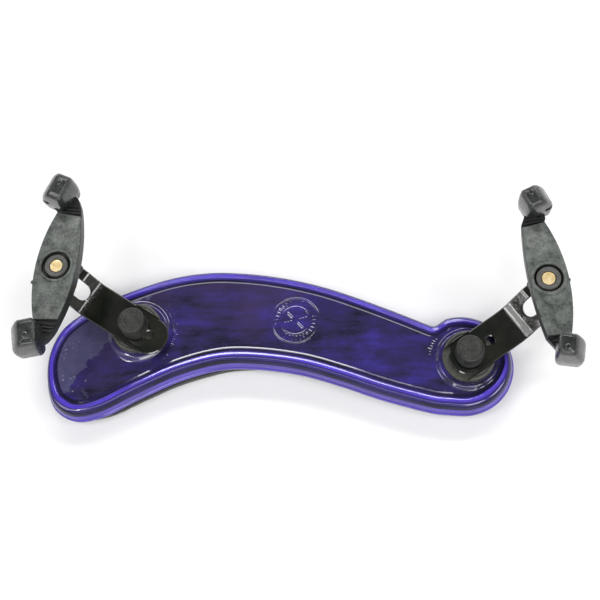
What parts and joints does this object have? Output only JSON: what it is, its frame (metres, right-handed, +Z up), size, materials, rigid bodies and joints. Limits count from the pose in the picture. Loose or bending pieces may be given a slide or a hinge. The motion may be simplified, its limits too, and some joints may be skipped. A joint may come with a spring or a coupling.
{
  "type": "violin shoulder rest",
  "caption": "Curved plastic plate on a foam pad, with two clamped, bent steel arms that each carry a height-adjustable swivelling fork with rubber boots.",
  "frame": {"origin": "on the foam pad's flat underside, under the middle of the plate's arch", "axes": "+X along the plate towards its round lobe, +Y towards the plate's long convex edge, +Z up from the foam towards the forks"},
  "size_m": [0.2321, 0.0992, 0.0515],
  "materials": {
    "purple_plastic": "gloss",
    "adhesive": "satin",
    "foam": "matte",
    "seat_plastic": "satin",
    "lacquered_steel": "gloss",
    "zinc_steel": "satin",
    "knob_plastic": "satin",
    "brass": "polished",
    "wheel_plastic": "satin",
    "filled_nylon": "matte",
    "hub_plastic": "satin",
    "boot_rubber": "satin"
  },
  "bodies": {
    "pad": {"plate": "purple_plastic", "adhesive_film": "adhesive", "foam_pad": "foam", "left_threaded_insert": "brass", "right_threaded_insert": "brass"},
    "left_arm": {"left_arm": "lacquered_steel", "left_seat_disc": "seat_plastic"},
    "left_clamp": {"left_clamp_washer": "zinc_steel"},
    "left_knob": {"left_clamp_knob": "knob_plastic", "left_clamp_screw": "zinc_steel"},
    "left_pivot": {"left_pivot_nut": "zinc_steel"},
    "left_wheel": {"left_height_wheel": "wheel_plastic"},
    "left_stem": {"left_stem": "brass", "left_hub": "hub_plastic"},
    "left_fork": {"left_fork": "filled_nylon", "left_boot_back": "boot_rubber", "left_boot_front": "boot_rubber"},
    "right_arm": {"right_arm": "lacquered_steel", "right_seat_disc": "seat_plastic"},
    "right_clamp": {"right_clamp_washer": "zinc_steel"},
    "right_knob": {"right_clamp_knob": "knob_plastic", "right_clamp_screw": "zinc_steel"},
    "right_pivot": {"right_pivot_nut": "zinc_steel"},
    "right_wheel": {"right_height_wheel": "wheel_plastic"},
    "right_stem": {"right_stem": "brass", "right_hub": "hub_plastic"},
    "right_fork": {"right_fork": "filled_nylon", "right_boot_back": "boot_rubber", "right_boot_front": "boot_rubber"}
  },
  "joints": [
    {"name": "left_arm_swivel", "type": "hinge", "parent": "pad", "child": "left_arm", "pos_m": [-0.0605, 0.0067, 0.00978], "axis": [-0.0371, 0, 0.9993], "range_deg": [-20, 20]},
    {"name": "left_clamp_lift", "type": "slide", "parent": "pad", "child": "left_clamp", "axis": [-0.0371, 0, 0.9993], "range_m": [0, 0.00105]},
    {"name": "left_knob_turn", "type": "hinge", "parent": "left_clamp", "child": "left_knob", "pos_m": [-0.0605, 0.0067, 0.00978], "axis": [-0.0371, 0, 0.9993], "range_deg": [0, 540]},
    {"name": "left_fork_fold", "type": "hinge", "parent": "left_arm", "child": "left_pivot", "pos_m": [-0.09087, 0.02535, 0.02406], "axis": [0.5298, 0.8479, 0.0197], "range_deg": [-15, 40]},
    {"name": "left_wheel_turn", "type": "hinge", "parent": "left_pivot", "child": "left_wheel", "pos_m": [-0.09087, 0.02535, 0.02406], "axis": [-0.0104, -0.0167, 0.9998], "range_deg": [-2520, 360]},
    {"name": "left_height", "type": "slide", "parent": "left_pivot", "child": "left_stem", "axis": [-0.0104, -0.0167, 0.9998], "range_m": [-0.0007, 0.0049]},
    {"name": "left_fork_swivel", "type": "hinge", "parent": "left_stem", "child": "left_fork", "pos_m": [-0.09103, 0.0251, 0.03906], "axis": [-0.0104, -0.0167, 0.9998], "continuous": true},
    {"name": "right_arm_swivel", "type": "hinge", "parent": "pad", "child": "right_arm", "pos_m": [0.0807, -0.0049, 0.0089], "axis": [0.0494, 0, 0.9988], "range_deg": [-20, 20]},
    {"name": "right_clamp_lift", "type": "slide", "parent": "pad", "child": "right_clamp", "axis": [0.0494, 0, 0.9988], "range_m": [0, 0.00105]},
    {"name": "right_knob_turn", "type": "hinge", "parent": "right_clamp", "child": "right_knob", "pos_m": [0.0807, -0.0049, 0.0089], "axis": [0.0494, 0, 0.9988], "range_deg": [0, 540]},
    {"name": "right_fork_fold", "type": "hinge", "parent": "right_arm", "child": "right_pivot", "pos_m": [0.11161, 0.01828, 0.02315], "axis": [0.6085, -0.793, -0.0301], "range_deg": [-15, 40]},
    {"name": "right_wheel_turn", "type": "hinge", "parent": "right_pivot", "child": "right_wheel", "pos_m": [0.11161, 0.01828, 0.02315], "axis": [0.0183, -0.0239, 0.9995], "range_deg": [-1440, 1800]},
    {"name": "right_height", "type": "slide", "parent": "right_pivot", "child": "right_stem", "axis": [0.0183, -0.0239, 0.9995], "range_m": [-0.0035, 0.0028]},
    {"name": "right_fork_swivel", "type": "hinge", "parent": "right_stem", "child": "right_fork", "pos_m": [0.11195, 0.01783, 0.04174], "axis": [0.0183, -0.0239, 0.9995], "continuous": true}
  ],
  "couplings": [
    {"joint": "left_knob_turn", "follows": "left_clamp_lift", "rad_per_m": 8975.9},
    {"joint": "left_wheel_turn", "follows": "left_height", "rad_per_m": -8975.9},
    {"joint": "right_knob_turn", "follows": "right_clamp_lift", "rad_per_m": 8975.9},
    {"joint": "right_wheel_turn", "follows": "right_height", "rad_per_m": -8975.9}
  ]
}
